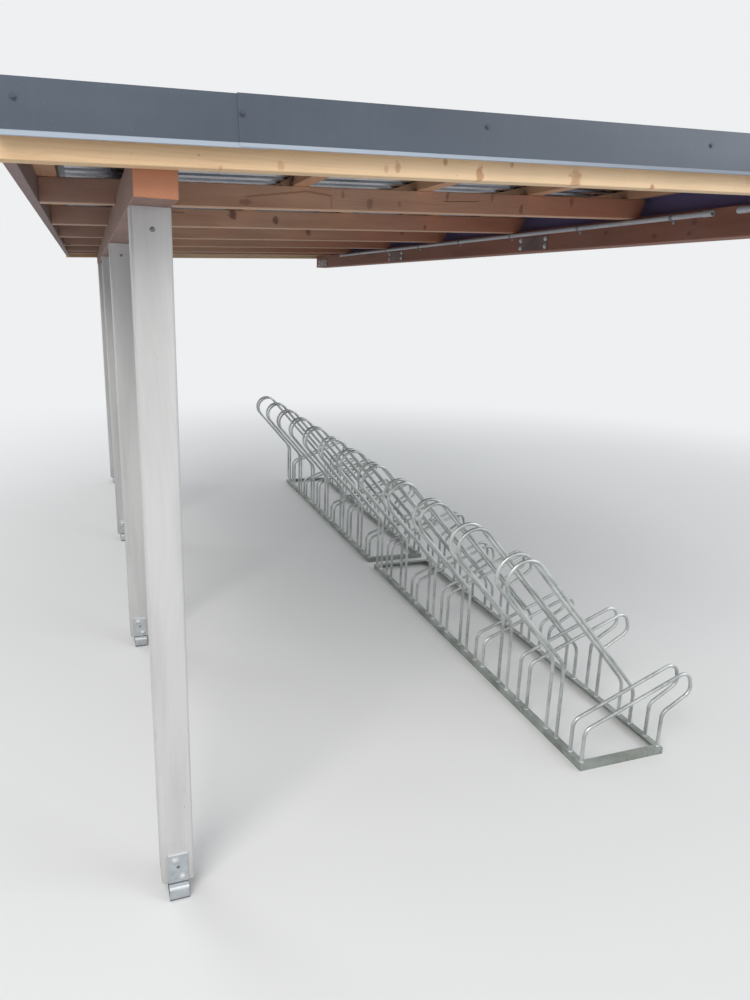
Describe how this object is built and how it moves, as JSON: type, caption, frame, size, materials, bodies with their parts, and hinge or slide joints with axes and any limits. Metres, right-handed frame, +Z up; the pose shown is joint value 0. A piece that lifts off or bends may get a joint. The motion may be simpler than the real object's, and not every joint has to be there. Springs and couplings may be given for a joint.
{
  "type": "bike shelter",
  "caption": "Lean-to bike shelter: open timber frame on painted posts, ribbed metal roof sloping away from a wall ledger, anthracite edge flashings and a galvanised bike rack.",
  "frame": {"origin": "middle of the ledger's flat back face, which is bolted to a house wall; the ground is 2.177 m below", "axes": "+Z up, +X from the open post side towards the wall, +Y from the entrance end to the far end"},
  "size_m": [2.5458, 6.1505, 2.4592],
  "materials": {
    "post_paint": "light grey painted timber",
    "foot_steel": "hot-dip galvanised",
    "beam_wood": "planed spruce, aged orange-brown",
    "edge_wood": "planed spruce with knots, pale",
    "rafter_wood": "planed spruce, aged",
    "batten_wood": "sawn spruce",
    "sheet_steel": "galvanised ribbed sheet",
    "flashing_coat": "anthracite coated sheet metal, satin",
    "closer_wood": "dark stained board",
    "ledger_wood": "planed spruce, aged red-brown",
    "plate_steel": "galvanised",
    "conduit_plastic": "grey",
    "rack_steel": "hot-dip galvanised"
  },
  "bodies": {
    "root": {"post_1": "post_paint", "foot_1": "foot_steel", "post_2": "post_paint", "foot_2": "foot_steel", "post_3": "post_paint", "foot_3": "foot_steel", "post_4": "post_paint", "foot_4": "foot_steel", "beam": "beam_wood", "front_timber": "edge_wood", "rear_timber": "edge_wood", "rafter_1": "rafter_wood", "batten_1": "batten_wood", "rafter_2": "rafter_wood", "batten_2": "batten_wood", "rafter_3": "rafter_wood", "batten_3": "batten_wood", "rafter_4": "rafter_wood", "batten_4": "batten_wood", "rafter_5": "rafter_wood", "batten_5": "batten_wood", "rafter_6": "rafter_wood", "batten_6": "batten_wood", "eave_board": "rafter_wood", "front_board": "edge_wood", "rear_board": "edge_wood", "roof_sheet": "sheet_steel", "front_flashing_left": "flashing_coat", "front_flashing_right": "flashing_coat", "rear_flashing": "flashing_coat", "eave_flashing": "flashing_coat", "wall_flashing": "flashing_coat", "wall_closer": "closer_wood", "ledger": "ledger_wood", "wall_plates": "plate_steel", "conduit": "conduit_plastic", "conduit_clips": "conduit_plastic", "rack_rails": "rack_steel", "low_hoops": "rack_steel", "middle_hoops": "rack_steel", "high_hoops": "rack_steel"}
  },
  "joints": []
}
